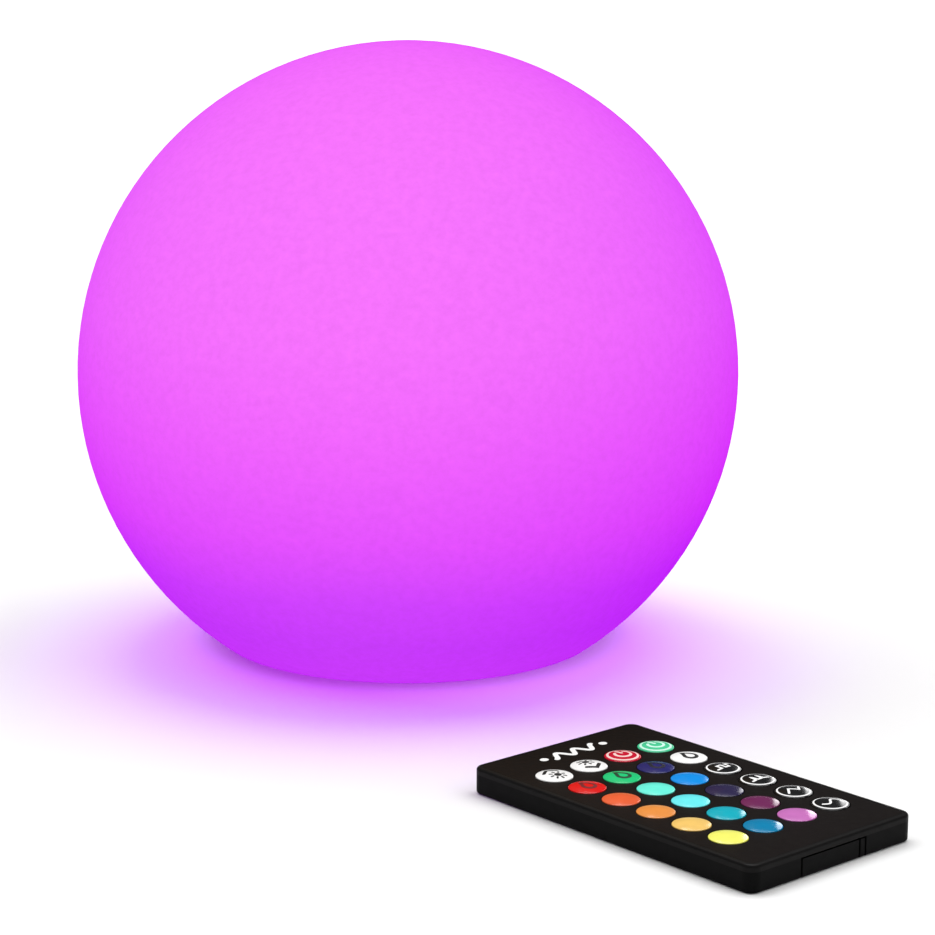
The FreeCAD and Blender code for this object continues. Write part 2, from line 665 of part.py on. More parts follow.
def remote_top_case():
    """Upper half of the case, with a shallow bed for the overlay, the key holes and four locating pins."""
    body = with_round_edge(case_plate(0.0, PARTING_Z, CASE_HEIGHT), CASE_HEIGHT)
    body = body.cut(case_plate(CASE_WALL, PARTING_Z - 1, TOP_PLATE_Z))
    body = body.cut(case_plate(OVERLAY_INSET, CASE_HEIGHT - OVERLAY_T, CASE_HEIGHT + 1))
    pins = at_points(disc(0.9, 1.6, TOP_PLATE_Z + 0.3), pin_places())
    body = joined([body] + pins)
    return body.cut(key_holes(KEY_HOLE_R, PARTING_Z - 1, CASE_HEIGHT + 1))


def tray_opening():
    """Where the battery tray slides: through the end wall, and between two ledges of the floor."""
    end = CASE_LENGTH / 2
    y0, y1 = TRAY_Y0 - TRAY_GAP, TRAY_Y1 + TRAY_GAP
    through_wall = block(TRAY_FRONT_X - 0.3, end + 1, TRAY_Y0 - TRAY_SLIT, TRAY_Y1 + TRAY_SLIT,
                         -1, PARTING_Z)
    above_ledges = block(TRAY_BACK_X - TRAY_GAP, end + 1, y0, y1, CASE_FLOOR, PARTING_Z)
    floor_slot = block(TRAY_BACK_X - TRAY_GAP, end + 1, y0 + LEDGE, y1 - LEDGE, -1, CASE_FLOOR + 1)
    return Part.makeCompound([through_wall, above_ledges, floor_slot])


IR_Z = 2.8


def remote_bottom_case():
    """Lower half of the case: a tray bay with guide ribs, bosses for the pins and the emitter's hole."""
    body = with_round_edge(case_plate(0.0, 0.0, PARTING_Z), 0.0)
    body = body.cut(case_plate(CASE_WALL, CASE_FLOOR, PARTING_Z + 1))
    lip = case_plate(CASE_WALL + 0.1, PARTING_Z - 0.5, TOP_PLATE_Z - 0.1)
    lip = lip.cut(case_plate(CASE_WALL + 0.7, PARTING_Z - 1, PARTING_Z + 2))
    lip_root = case_plate(CASE_WALL - 0.2, PARTING_Z - 1.0, PARTING_Z)
    lip_root = lip_root.cut(case_plate(CASE_WALL + 0.7, PARTING_Z - 2, PARTING_Z + 1))
    bosses = at_points(disc(2.0, CASE_FLOOR - 0.5, REMOTE_BOARD_Z), pin_places())
    ribs = []
    rib_z = CASE_FLOOR - 0.5
    stop_x0, stop_x1 = TRAY_BACK_X - 1.5, TRAY_BACK_X - 0.3
    for y in (TRAY_Y0 - TRAY_GAP - 0.6, TRAY_Y1 + TRAY_GAP + 0.6):
        ribs.append(block(TRAY_BACK_X, CASE_LENGTH / 2 - 1, y - 0.6, y + 0.6, rib_z, REMOTE_BOARD_Z))
    for y0, y1 in ((TRAY_Y0, CELL_Y - 4), (CELL_Y + 4, TRAY_Y1)):
        ribs.append(block(stop_x0, stop_x1, y0, y1, rib_z, TRAY_TOP_Z))
    body = joined([body, lip, lip_root] + bosses + ribs)
    body = body.cut(tray_opening())
    body = body.cut(Part.makeCompound(at_points(disc(0.95, 1.5, REMOTE_BOARD_Z + 1), pin_places())))
    eye = Part.makeCylinder(1.6, 6, V(-CASE_LENGTH / 2 - 1, 0, IR_Z), V(1, 0, 0))
    return body.cut(eye)


def remote_overlay():
    """Printed film over the whole top, with a hole for each key."""
    film = case_plate(OVERLAY_INSET + 0.05, CASE_HEIGHT - OVERLAY_T, CASE_HEIGHT)
    return film.cut(key_holes(KEY_HOLE_R + 0.1, CASE_HEIGHT - 1, CASE_HEIGHT + 1))


def keypad_web():
    """Thin silicone sheet on the remote's board, with a hole for each key's contact."""
    z0 = REMOTE_BOARD_Z + REMOTE_BOARD_T
    sheet = case_plate(BOARD_INSET + 0.5, z0, z0 + WEB_T)
    holes = [key_holes(KEY_STEM_R + 0.5, z0 - 1, z0 + 1)]
    holes += at_points(disc(1.4, z0 - 1, z0 + 1), pin_places())
    holes.append(block(-CASE_LENGTH / 2, NOTCH_X + 0.3, -2.3, 2.3, z0 - 1, z0 + 1))
    return sheet.cut(Part.makeCompound(holes))


def key_cap():
    """One key on the Z axis: a domed cap, a flange under the top plate and a contact stem."""
    edge = 0.25
    flange_top = KEY_FLANGE_Z + KEY_FLANGE_T
    rise = KEY_CROWN_Z - KEY_RIM_Z
    crown_r = KEY_R - edge
    sphere_r = (crown_r ** 2 + rise ** 2) / (2 * rise)
    half = crown_r / 2
    half_z = KEY_CROWN_Z - sphere_r + math.sqrt(sphere_r ** 2 - half ** 2)
    return turned([
        line((0, KEY_STEM_Z), (KEY_STEM_R, KEY_STEM_Z)),
        line((KEY_STEM_R, KEY_STEM_Z), (KEY_STEM_R, KEY_FLANGE_Z)),
        line((KEY_STEM_R, KEY_FLANGE_Z), (KEY_FLANGE_R, KEY_FLANGE_Z)),
        line((KEY_FLANGE_R, KEY_FLANGE_Z), (KEY_FLANGE_R, flange_top)),
        line((KEY_FLANGE_R, flange_top), (KEY_R, flange_top)),
        line((KEY_R, flange_top), (KEY_R, KEY_RIM_Z - edge)),
        arc((KEY_R, KEY_RIM_Z - edge), (KEY_R - 0.3 * edge, KEY_RIM_Z - 0.3 * edge), (crown_r, KEY_RIM_Z)),
        arc((crown_r, KEY_RIM_Z), (half, half_z), (0, KEY_CROWN_Z)),
        line((0, KEY_CROWN_Z), (0, KEY_STEM_Z)),
    ])


def remote_board():
    z0, z1 = REMOTE_BOARD_Z, REMOTE_BOARD_Z + REMOTE_BOARD_T
    board = case_plate(BOARD_INSET, z0, z1)
    board = board.cut(block(TRAY_FRONT_X - 0.4, CASE_LENGTH / 2, -CASE_WIDTH, CASE_WIDTH, z0 - 1, z1 + 1))
    notch = block(-CASE_LENGTH / 2, NOTCH_X, -2.0, 2.0, z0 - 1, z1 + 1)
    holes = at_points(disc(1.05, z0 - 1, z1 + 1), pin_places())
    return board.cut(Part.makeCompound([notch] + holes))


def ir_emitter():
    """Infrared diode lying in the board's notch, its round nose in the end wall."""
    nose_x, back_x, radius = -CASE_LENGTH / 2 + 1.35, NOTCH_X - 0.8, 1.5
    barrel = Part.makeCylinder(radius, back_x - nose_x, V(nose_x, 0, IR_Z), V(1, 0, 0))
    nose = Part.makeSphere(radius, V(nose_x, 0, IR_Z))
    legs = []
    for y in (-0.89, 0.89):
        y0, y1 = y - 0.22, y + 0.22
        legs.append(block(back_x - 0.5, back_x + 2.6, y0, y1, IR_Z - 0.2, IR_Z + 0.2))
        legs.append(block(back_x + 2.2, back_x + 2.6, y0, y1, IR_Z - 0.2, REMOTE_BOARD_Z))
    return joined([barrel, nose] + legs)


def remote_components():
    """Encoder chip, resonator and driver transistor under the remote's board."""
    z1 = REMOTE_BOARD_Z
    chip = block(-14.0, -4.0, -2.0, 2.0, z1 - 1.7, z1 - 0.1)
    legs = [block(x - 0.2, x + 0.2, -3.1, 3.1, z1 - 0.6, z1)
            for x in [-9.0 + (i - 3.5) * 1.27 for i in range(8)]]
    resonator = joined([
        block(2.0, 5.0, 6.0, 13.0, z1 - 2.4, z1 - 0.3),
        block(3.2, 3.8, 7.0, 12.0, z1 - 0.5, z1),
    ])
    transistor = block(-30.0, -27.0, 4.0, 5.6, z1 - 1.1, z1)
    return group([joined([chip] + legs), resonator, transistor])


def cell_contacts():
    """Two sprung contacts under the board: one over the cell's middle, one at its edge."""
    z1 = REMOTE_BOARD_Z
    top_z = CELL_Z + CELL_T + 0.03
    leaf_points = [
        (-6.8, z1), (-6.8, z1 - 0.15), (-3.3, z1 - 0.15), (1.8, top_z), (3.6, top_z),
        (3.6, top_z + 0.12), (1.9, top_z + 0.12), (-3.1, z1),
    ]
    outline = [V(CELL_X + x, CELL_Y - 1.5, z) for x, z in leaf_points + leaf_points[:1]]
    leaf = Part.Face(Part.makePolygon(outline)).extrude(V(0, 3.0, 0))
    edge_x = CELL_X - CELL_R - 0.05
    blade = block(edge_x - 0.2, edge_x, CELL_Y - 1.5, CELL_Y + 1.5, CELL_Z + 0.4, z1)
    foot = block(edge_x - 2.6, edge_x - 0.1, CELL_Y - 1.5, CELL_Y + 1.5, z1 - 0.2, z1)
    return group([leaf, joined([blade, foot])])


def coin_cell():
    """Lithium coin cell, its can down and its smaller cap up."""
    z0, z1 = CELL_Z, CELL_Z + CELL_T
    cell = turned_outline([
        (0, z0), (CELL_R - 0.3, z0), (CELL_R, z0 + 0.3), (CELL_R, z1 - 0.45), (CELL_R - 0.4, z1 - 0.2),
        (CELL_R - 1.1, z1 - 0.2), (CELL_R - 1.4, z1), (0, z1),
    ])
    cell.translate(V(CELL_X, CELL_Y, 0))
    return cell


def battery_tray():
    """Drawer for the coin cell: a stepped floor, a wall round the cell and the visible end plate."""
    end = CASE_LENGTH / 2
    plate_y1 = LATCH_Y0 - TRAY_SLIT
    floor_z = CASE_FLOOR + 0.05
    y0, y1 = TRAY_Y0 + LEDGE, TRAY_Y1 - LEDGE
    keel = block(TRAY_BACK_X, TRAY_FRONT_X + 0.5, y0, y1, 0.1, floor_z)
    deck = block(TRAY_BACK_X, LATCH_ROOT_X, TRAY_Y0, TRAY_Y1, floor_z, TRAY_TOP_Z)
    nose = block(LATCH_ROOT_X - 1, TRAY_FRONT_X + 0.5, TRAY_Y0, plate_y1, floor_z, TRAY_TOP_Z)
    plate = block(TRAY_FRONT_X, end, TRAY_Y0, plate_y1, 0.1, TRAY_PLATE_TOP_Z)
    body = joined([keel, deck, nose, plate])
    body = body.cut(disc(CELL_R + 0.1, CELL_Z, TRAY_TOP_Z + 1, CELL_X, CELL_Y))
    body = body.cut(block(TRAY_BACK_X - 1, CELL_X - 8, CELL_Y - 3, CELL_Y + 3, CELL_Z, TRAY_TOP_Z + 1))
    body = body.cut(block(LATCH_ROOT_X + 0.05, end + 1, plate_y1, TRAY_Y1 + 1, -1, 6))
    return body.common(with_round_edge(case_plate(0.0, 0.0, CASE_HEIGHT), 0.0))


def tray_latch():
    """Sprung arm beside the tray's end plate, which is squeezed inwards to free the tray."""
    end = CASE_LENGTH / 2
    arm = block(LATCH_ROOT_X + 0.1, TRAY_FRONT_X + 0.5, LATCH_Y0 + 0.2, TRAY_Y1,
                CASE_FLOOR + 0.15, TRAY_TOP_Z - 0.4)
    pad = block(TRAY_FRONT_X, end, LATCH_Y0, TRAY_Y1, 0.1, TRAY_PLATE_TOP_Z)
    body = joined([arm, pad])
    return body.common(with_round_edge(case_plate(0.0, 0.0, CASE_HEIGHT), 0.0))


def on_the_table(shape):
    """A remote part moved from the remote's own frame to where the remote lies."""
    placed = shape.copy()
    placed.rotate(V(0, 0, 0), V(0, 0, 1), REMOTE_TURN)
    placed.translate(REMOTE_CENTRE)
    return placed


# ---------------------------------------------------------------- the parts

GLOBE_PARTS = (
    globe_shell, shell_inserts, base_housing, housing_screws, housing_gasket, light_dome, dome_seal,
    led_board, led_emitters, ir_receiver, inner_screws, control_board, controller_chips, charge_socket,
    power_switch, switch_plunger, battery_cell, battery_clamp, battery_leads, led_harness,
    harness_connectors, power_button, button_seal, port_plug, plug_anchor,
)
REMOTE_PARTS = (
    remote_top_case, remote_bottom_case, remote_overlay, keypad_web, remote_board, ir_emitter,
    remote_components, cell_contacts, coin_cell, battery_tray, tray_latch,
)


def all_parts():
    parts = {make.__name__: make() for make in GLOBE_PARTS}
    parts.update({make.__name__: on_the_table(make()) for make in REMOTE_PARTS})
    cap = key_cap()
    for name, x, y in key_places():
        key = cap.copy()
        key.translate(V(x, y, 0))
        parts[name] = on_the_table(key)
    return parts


os.makedirs("parts", exist_ok=True)
for name, shape in all_parts().items():
    assert shape.isValid(), name + " is not a valid shape"
    assert all(s.isClosed() and s.Volume > 0 for s in shape.Solids), name + " is not closed"
    shape.exportStep("parts/" + name + ".step")
    print(name, len(shape.Solids), "solids", round(shape.Volume, 1), "mm3")
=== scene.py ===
"""The looks of a floating globe light and its card remote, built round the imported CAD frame.

Everything is in metres in the frame's own axes: the globe stands on the origin and the remote lies in
front of it. Places and sizes come from the frame's boxes and from a few named values below.
"""
import math

import bmesh
import bpy
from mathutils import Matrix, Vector


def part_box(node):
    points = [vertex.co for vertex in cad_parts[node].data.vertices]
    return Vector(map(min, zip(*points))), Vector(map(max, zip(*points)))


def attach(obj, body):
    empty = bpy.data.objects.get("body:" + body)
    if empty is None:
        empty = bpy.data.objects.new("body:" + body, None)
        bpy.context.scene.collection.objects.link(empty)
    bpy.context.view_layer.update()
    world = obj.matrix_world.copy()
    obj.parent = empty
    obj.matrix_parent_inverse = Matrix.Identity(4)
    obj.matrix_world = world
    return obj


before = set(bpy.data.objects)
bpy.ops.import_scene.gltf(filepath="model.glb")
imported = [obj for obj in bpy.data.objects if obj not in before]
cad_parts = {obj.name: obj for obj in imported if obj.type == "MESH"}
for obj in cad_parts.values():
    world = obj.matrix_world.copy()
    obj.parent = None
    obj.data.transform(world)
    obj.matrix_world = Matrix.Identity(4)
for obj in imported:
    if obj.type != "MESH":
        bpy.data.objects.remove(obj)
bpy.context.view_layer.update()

MM = 0.001

# ---------------------------------------------------------------- camera, as the photograph has it

# These came from a fit to places measured in the photograph.
CAMERA_PLACE = (0.0, -0.81145, 0.22403)
CAMERA_YAW = math.radians(1.264)       # towards +X
CAMERA_PITCH = math.radians(11.989)    # below the horizon
CAMERA_LENS = 103.96                   # mm, on a 36 mm sensor


def make_camera():
    data = bpy.data.cameras.new("photo_camera")
    data.lens = CAMERA_LENS
    data.sensor_width = 36.0
    data.clip_start = 0.01
    data.clip_end = 100.0
    camera = bpy.data.objects.new("photo_camera", data)
    camera.location = CAMERA_PLACE
    camera.rotation_euler = (math.pi / 2 - CAMERA_PITCH, 0.0, -CAMERA_YAW)
    bpy.context.scene.collection.objects.link(camera)
    bpy.context.scene.camera = camera


# ---------------------------------------------------------------- material helpers

class Nodes:
    """A small helper that adds and links the nodes of one material."""

    def __init__(self, name):
        self.material = bpy.data.materials.new(name)
        self.material.use_nodes = True
        self.tree = self.material.node_tree
        self.tree.nodes.clear()
        self.output = self.add("ShaderNodeOutputMaterial")
        self.shader = self.add("ShaderNodeBsdfPrincipled")
        self.link(self.shader, "BSDF", self.output, "Surface")
        self.place = self.add("ShaderNodeTexCoord")

    def add(self, kind, **values):
        node = self.tree.nodes.new(kind)
        for key, value in values.items():
            setattr(node, key, value)
        return node

    def link(self, source, output, target, name):
        self.tree.links.new(source.outputs[output], target.inputs[name])

    def set(self, **values):
        for name, value in values.items():
            self.shader.inputs[name.replace("_", " ")].default_value = value

    def noise(self, scale, detail=3.0, roughness=0.6, stretch=None):
        """Noise over the object's own coordinates; scale is in features per metre."""
        texture = self.add("ShaderNodeTexNoise")
        texture.inputs["Scale"].default_value = scale
        texture.inputs["Detail"].default_value = detail
        texture.inputs["Roughness"].default_value = roughness
        if stretch is None:
            self.link(self.place, "Object", texture, "Vector")
        else:
            mapping = self.add("ShaderNodeMapping")
            mapping.inputs["Scale"].default_value = stretch
            self.link(self.place, "Object", mapping, "Vector")
            self.link(mapping, "Vector", texture, "Vector")
        return texture

    def remap(self, source, output, low, high, from_low=0.0, from_high=1.0):
        node = self.add("ShaderNodeMapRange")
        node.inputs["From Min"].default_value = from_low
        node.inputs["From Max"].default_value = from_high
        node.inputs["To Min"].default_value = low
        node.inputs["To Max"].default_value = high
        self.link(source, output, node, "Value")
        return node

    def ramp(self, source, output, stops):
        node = self.add("ShaderNodeValToRGB")
        ramp = node.color_ramp
        while len(ramp.elements) < len(stops):
            ramp.elements.new(0.5)
        for element, (position, colour) in zip(ramp.elements, stops):
            element.position = position
            element.color = (*colour, 1.0)
        self.link(source, output, node, "Fac")
        return node

    def bump(self, source, output, strength, distance):
        node = self.add("ShaderNodeBump")
        node.inputs["Strength"].default_value = strength
        node.inputs["Distance"].default_value = distance
        self.link(source, output, node, "Height")
        self.link(node, "Normal", self.shader, "Normal")


def moulded(name, colour, roughness, grain=2600.0, grain_depth=0.00002, specular=0.5):
    """Moulded plastic or rubber: a faint mottling of colour and gloss over a fine spark-eroded grain."""
    n = Nodes(name)
    n.set(Specular_IOR_Level=specular)
    mottle = n.noise(90.0, 4.0)
    darker = tuple(c * 0.94 for c in colour)
    paler = tuple(c * 1.06 for c in colour)
    tint = n.ramp(mottle, "Fac", [(0.3, darker), (0.7, paler)])
    n.link(tint, "Color", n.shader, "Base Color")
    gloss = n.noise(600.0, 3.0)
    spread = n.remap(gloss, "Fac", roughness - 0.08, roughness + 0.08, 0.3, 0.7)
    n.link(spread, "Result", n.shader, "Roughness")
    fine = n.noise(grain, 2.0, 0.5)
    n.bump(fine, "Fac", 0.5, grain_depth)
    return n.material


def metal(name, colour, roughness=0.28, brush=(1.0, 40.0, 1.0)):
    """Plated or brushed metal with fine drawn lines and slightly uneven polish."""
    n = Nodes(name)
    n.set(Metallic=1.0)
    lines = n.noise(900.0, 4.0, 0.7, stretch=brush)
    tint = n.ramp(lines, "Fac", [(0.25, tuple(c * 0.86 for c in colour)), (0.75, colour)])
    n.link(tint, "Color", n.shader, "Base Color")
    spread = n.remap(lines, "Fac", roughness - 0.08, roughness + 0.10, 0.25, 0.75)
    n.link(spread, "Result", n.shader, "Roughness")
    n.bump(lines, "Fac", 0.25, 0.00001)
    return n.material


def board(name, mask, track, scale=420.0):
    """A circuit board: solder mask with the lighter tracks that show through it."""
    n = Nodes(name)
    n.set(Specular_IOR_Level=0.5, Coat_Weight=0.3)
    cells = n.add("ShaderNodeTexVoronoi", feature="DISTANCE_TO_EDGE", distance="MANHATTAN")
    cells.inputs["Scale"].default_value = scale
    n.link(n.place, "Object", cells, "Vector")
    tint = n.ramp(cells, "Distance", [(0.03, track), (0.07, mask)])
    n.link(tint, "Color", n.shader, "Base Color")
    gloss = n.noise(700.0, 3.0)
    spread = n.remap(gloss, "Fac", 0.25, 0.42)
    n.link(spread, "Result", n.shader, "Roughness")
    n.bump(cells, "Distance", 0.3, 0.00003)
    return n.material


def resin(name, colour, roughness, variation=0.08):
    """Glossy cast resin or epoxy with faint flow marks."""
    n = Nodes(name)
    n.set(Coat_Weight=0.4)
    flow = n.noise(260.0, 5.0, 0.55)
    tint = n.ramp(flow, "Fac", [(0.3, tuple(c * (1 - variation) for c in colour)),
                                (0.7, tuple(min(1.0, c * (1 + variation)) for c in colour))])
    n.link(tint, "Color", n.shader, "Base Color")
    spread = n.remap(flow, "Fac", roughness * 0.7, roughness * 1.5)
    n.link(spread, "Result", n.shader, "Roughness")
    n.bump(flow, "Fac", 0.15, 0.00002)
    return n.material


# ---------------------------------------------------------------- the globe's glowing skin

# The glow stops below and FRONT_SHARE weren't chosen by hand. Another script solved for them by least
# squares from colours sampled in the photograph, and they were then rounded. GLOW_ON_FLOOR came from
# such a fit too.
GLOW_AND_SHADE_STOPS = (
    # height above the foot in metres, glow colour with painted shade by height
    (0.003, (0.535, 0.022, 0.952)),
    (0.015, (0.503, 0.010, 0.952)),
    (0.030, (0.523, 0.002, 0.978)),
    (0.050, (0.629, 0.005, 0.981)),
    (0.075, (0.661, 0.013, 0.977)),
    (0.105, (0.658, 0.026, 0.972)),
    (0.140, (0.625, 0.015, 0.975)),
    (0.181, (0.619, 0.000, 0.971)),
)
GLOW_ON_FLOOR = (0.583, 0.051, 1.0)                # colour of the glow that it throws on the floor
FRONT_SUN = 60.0                                   # strength of the sun that lights only the globe
FRONT_SHARE = (0.304, 0.162, 0.020)                # what it adds where it meets the globe square on


def globe_skin():
    """Frosted polyethylene lit from inside. Its glow is real, but its run from a dim violet at the foot
    to a brighter pink above is painted shade.
    """
    low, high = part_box("globe_shell")
    tallest = high.z - low.z
    n = Nodes("globe_polyethylene")
    n.set(Specular_IOR_Level=0.0)
    split = n.add("ShaderNodeSeparateXYZ")
    n.link(n.place, "Object", split, "Vector")
    height = n.remap(split, "Z", 0.0, 1.0, low.z, high.z)
    cloud = n.noise(16.0, 3.0, 0.5)
    drift = n.remap(cloud, "Fac", -0.012, 0.012, 0.3, 0.7)
    shifted = n.add("ShaderNodeMath", operation="ADD")
    n.link(height, "Result", shifted, 0)
    n.link(drift, "Result", shifted, 1)
    # The glow's colour by height carries painted shade: darkest and most violet at the foot, brightest
    # near the middle, a little darker again at the top.
    glow = n.ramp(shifted, "Value", [((z - low.z) / tallest, colour) for z, colour in GLOW_AND_SHADE_STOPS])
    grain = n.noise(420.0, 5.0, 0.7)
    speckle = n.remap(grain, "Fac", 0.952, 1.048, 0.3, 0.7)
    mixed = n.add("ShaderNodeVectorMath", operation="SCALE")
    n.link(glow, "Color", mixed, 0)
    n.link(speckle, "Result", mixed, "Scale")
    n.link(mixed, "Vector", n.shader, "Emission Color")
    n.set(Emission_Strength=1.0)
    mottle = n.remap(grain, "Fac", 0.93, 1.07, 0.3, 0.7)
    skin = n.add("ShaderNodeVectorMath", operation="SCALE")
    skin.inputs[0].default_value = [share * math.pi / FRONT_SUN for share in FRONT_SHARE]
    n.link(mottle, "Result", skin, "Scale")
    n.link(skin, "Vector", n.shader, "Base Color")
    rough = n.remap(grain, "Fac", 0.55, 0.75)
    n.link(rough, "Result", n.shader, "Roughness")
    frost = n.noise(1500.0, 3.0, 0.7)
    n.bump(frost, "Fac", 0.35, 0.00006)
    return n.material


# ---------------------------------------------------------------- the remote's keys

# These were adjusted by the ratio of the photograph's colours to a trial render's, from another script.
KEY_COLOURS = {
    "key_brighter": (0.92, 0.92, 0.92),
    "key_dimmer": (0.92, 0.92, 0.92),
    "key_off": (0.58, 0.008, 0.035),
    "key_on": (0.070, 0.62, 0.32),
    "key_red": (0.70, 0.010, 0.012),
    "key_green": (0.014, 0.56, 0.19),
    "key_blue": (0.021, 0.021, 0.14),
    "key_white": (0.92, 0.92, 0.92),
    "key_scarlet": (0.78, 0.12, 0.042),
    "key_aqua": (0.14, 0.85, 0.69),
    "key_azure": (0.004, 0.27, 0.78),
    "key_flash": (0.010, 0.010, 0.011),
    "key_orange": (0.80, 0.285, 0.062),
    "key_cyan": (0.14, 0.81, 0.85),
    "key_indigo": (0.026, 0.020, 0.070),
    "key_strobe": (0.010, 0.010, 0.011),
    "key_amber": (0.86, 0.55, 0.15),
    "key_teal": (0.008, 0.41, 0.51),
    "key_plum": (0.155, 0.021, 0.095),
    "key_fade": (0.010, 0.010, 0.011),
    "key_yellow": (0.89, 0.88, 0.16),
    "key_cerulean": (0.004, 0.21, 0.41),
    "key_pink": (0.56, 0.165, 0.49),
    "key_smooth": (0.010, 0.010, 0.011),
}


def key_print(name, colour):
    """Ink under a clear glossy dome."""
    n = Nodes(name)
    n.set(Specular_IOR_Level=0.0, Coat_Weight=0.8, Coat_Roughness=0.15)
    ink = n.noise(420.0, 3.0, 0.5)
    deep = tuple(c * 0.97 for c in colour)
    pale = tuple(min(1.0, c * 1.02) for c in colour)
    tint = n.ramp(ink, "Fac", [(0.35, deep), (0.65, pale)])
    n.link(tint, "Color", n.shader, "Base Color")
    spread = n.remap(ink, "Fac", 0.28, 0.36)
    n.link(spread, "Result", n.shader, "Roughness")
    n.bump(ink, "Fac", 0.02, 0.00001)
    return n.material


# ---------------------------------------------------------------- what each node is made of

def assign(node, material):
    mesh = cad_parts[node].data
    mesh.materials.clear()
    mesh.materials.append(material)


def dress_frame():
    black = moulded("remote_plastic", (0.0045, 0.0045, 0.0047), roughness=0.40, grain=3200.0,
                    grain_depth=0.000018, specular=0.04)
    top_black = moulded("remote_top_plastic", (0.0100, 0.0095, 0.0095), roughness=0.40, grain=3200.0,
                        grain_depth=0.000018, specular=0.06)
    film = moulded("overlay_film", (0.0095, 0.0075, 0.0072), roughness=0.42, grain=5200.0,
                   grain_depth=0.000010, specular=0.05)
    white = moulded("base_plastic", (0.72, 0.72, 0.70), roughness=0.48)
    rubber = moulded("seal_rubber", (0.02, 0.02, 0.02), roughness=0.6, grain=1800.0)
    grey_rubber = moulded("button_silicone", (0.30, 0.30, 0.31), roughness=0.5, grain=2400.0)
    plug = moulded("plug_silicone", (0.55, 0.55, 0.55), roughness=0.5, grain=2400.0)
    steel = metal("screw_steel", (0.62, 0.62, 0.64))
    brass = metal("insert_brass", (0.66, 0.45, 0.17))
    contact = metal("contact_metal", (0.72, 0.60, 0.38), roughness=0.22)
    nickel = metal("socket_steel", (0.66, 0.66, 0.68), roughness=0.24)
    coin = metal("coin_cell_steel", (0.70, 0.70, 0.71), roughness=0.25, brush=(40.0, 1.0, 1.0))
    green = board("board_laminate", mask=(0.010, 0.085, 0.030), track=(0.020, 0.15, 0.055))
    pale = board("light_board_laminate", mask=(0.72, 0.72, 0.70), track=(0.62, 0.62, 0.60))
    chip = moulded("chip_resin", (0.012, 0.012, 0.013), roughness=0.45)
    emitter = resin("emitter_resin", (0.85, 0.82, 0.66), roughness=0.2)
    infrared = resin("infrared_resin", (0.012, 0.006, 0.020), roughness=0.1)
    wrap = resin("cell_wrap", (0.012, 0.090, 0.33), roughness=0.25)
    lead = moulded("lead_insulation", (0.42, 0.010, 0.010), roughness=0.4)
    harness = moulded("harness_insulation", (0.62, 0.62, 0.60), roughness=0.4)
    nylon = moulded("connector_plastic", (0.68, 0.65, 0.56), roughness=0.4)
    web = moulded("web_silicone", (0.48, 0.48, 0.48), roughness=0.5)
    dome = moulded("dome_plastic", (0.80, 0.80, 0.80), roughness=0.55)
    made_of = {
        black: ("remote_bottom_case", "battery_tray", "tray_latch"),
        top_black: ("remote_top_case",),
        film: ("remote_overlay",),
        white: ("base_housing", "battery_clamp"),
        rubber: ("housing_gasket", "dome_seal", "button_seal"),
        grey_rubber: ("power_button", "switch_plunger"),
        plug: ("port_plug", "plug_anchor"),
        steel: ("housing_screws", "inner_screws"),
        brass: ("shell_inserts",),
        contact: ("cell_contacts",),
        nickel: ("charge_socket",),
        coin: ("coin_cell",),
        green: ("control_board", "remote_board"),
        pale: ("led_board",),
        chip: ("controller_chips", "power_switch", "remote_components"),
        emitter: ("led_emitters",),
        infrared: ("ir_receiver", "ir_emitter"),
        wrap: ("battery_cell",),
        lead: ("battery_leads",),
        harness: ("led_harness",),
        nylon: ("harness_connectors",),
        web: ("keypad_web",),
        dome: ("light_dome",),
        globe_skin(): ("globe_shell",),
    }
    for material, nodes in made_of.items():
        for node in nodes:
            assign(node, material)
    for node, colour in KEY_COLOURS.items():
        assign(node, key_print(node + "_cap", colour))


# ---------------------------------------------------------------- printing on the remote

PRINT_LIFT = 0.025         # mm, top of the ink above the surface that it is printed on
PRINT_SINK = 0.060         # mm, how far each print reaches into that surface
STEP = 0.35                # mm, longest run of a stroke between two sections
CAP_R = 4.55               # mm, radius of a key's domed face
CAP_RISE = 0.65            # mm, height of that dome
MARK_BEYOND_KEYS = 11.2    # mm, from the first row of keys to the mark's middle
MARK_TO_LEFT = 0.7         # mm, from the keys' middle line to the mark's middle
MARK_LINE = 1.4            # mm, width of the mark's wave
MARK_DOT = 2.2             # mm, across each of its dots
MARK_DOTS_AT = 10.4        # mm, from its middle to each dot


def centre(node):
    low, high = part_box(node)
    return (low + high) / 2


def remote_axes():
    """Unit vectors across the remote, towards its right, and along it, towards the emitter."""
    across = (centre("key_on") - centre("key_brighter")).normalized()
    along = (centre("key_brighter") - centre("key_yellow")).normalized()
    return across, along


def dome_height(u, v):
    """Height of a key's face above its rim, in mm."""
    sphere = (CAP_R ** 2 + CAP_RISE ** 2) / (2 * CAP_RISE)
    return CAP_RISE - sphere + math.sqrt(sphere ** 2 - u * u - v * v)


def flat_height(u, v):
    return 0.0


def circle(radius, start=0.0, end=360.0, middle=(0.0, 0.0)):
    """Points on an arc, from one angle to another in degrees, counted from straight up."""
    count = max(8, int(abs(end - start) / 360.0 * 2 * math.pi * radius / STEP))
    angles = [math.radians(start + (end - start) * i / count) for i in range(count + 1)]
    return [(middle[0] + radius * math.sin(a), middle[1] + radius * math.cos(a)) for a in angles]


def wave(half_length, height, turns=1.0):
    count = 40
    steps = [2.0 * i / count - 1.0 for i in range(count + 1)]
    return [(half_length * t, height * math.sin(math.pi * turns * t)) for t in steps]


def even_steps(points):
    """The same path with no run longer than STEP."""
    path = [Vector(points[0])]
    for a, b in zip(points, points[1:]):
        a, b = Vector(a), Vector(b)
        count = max(1, math.ceil((b - a).length / STEP))
        path += [a.lerp(b, i / count) for i in range(1, count + 1)]
    return path


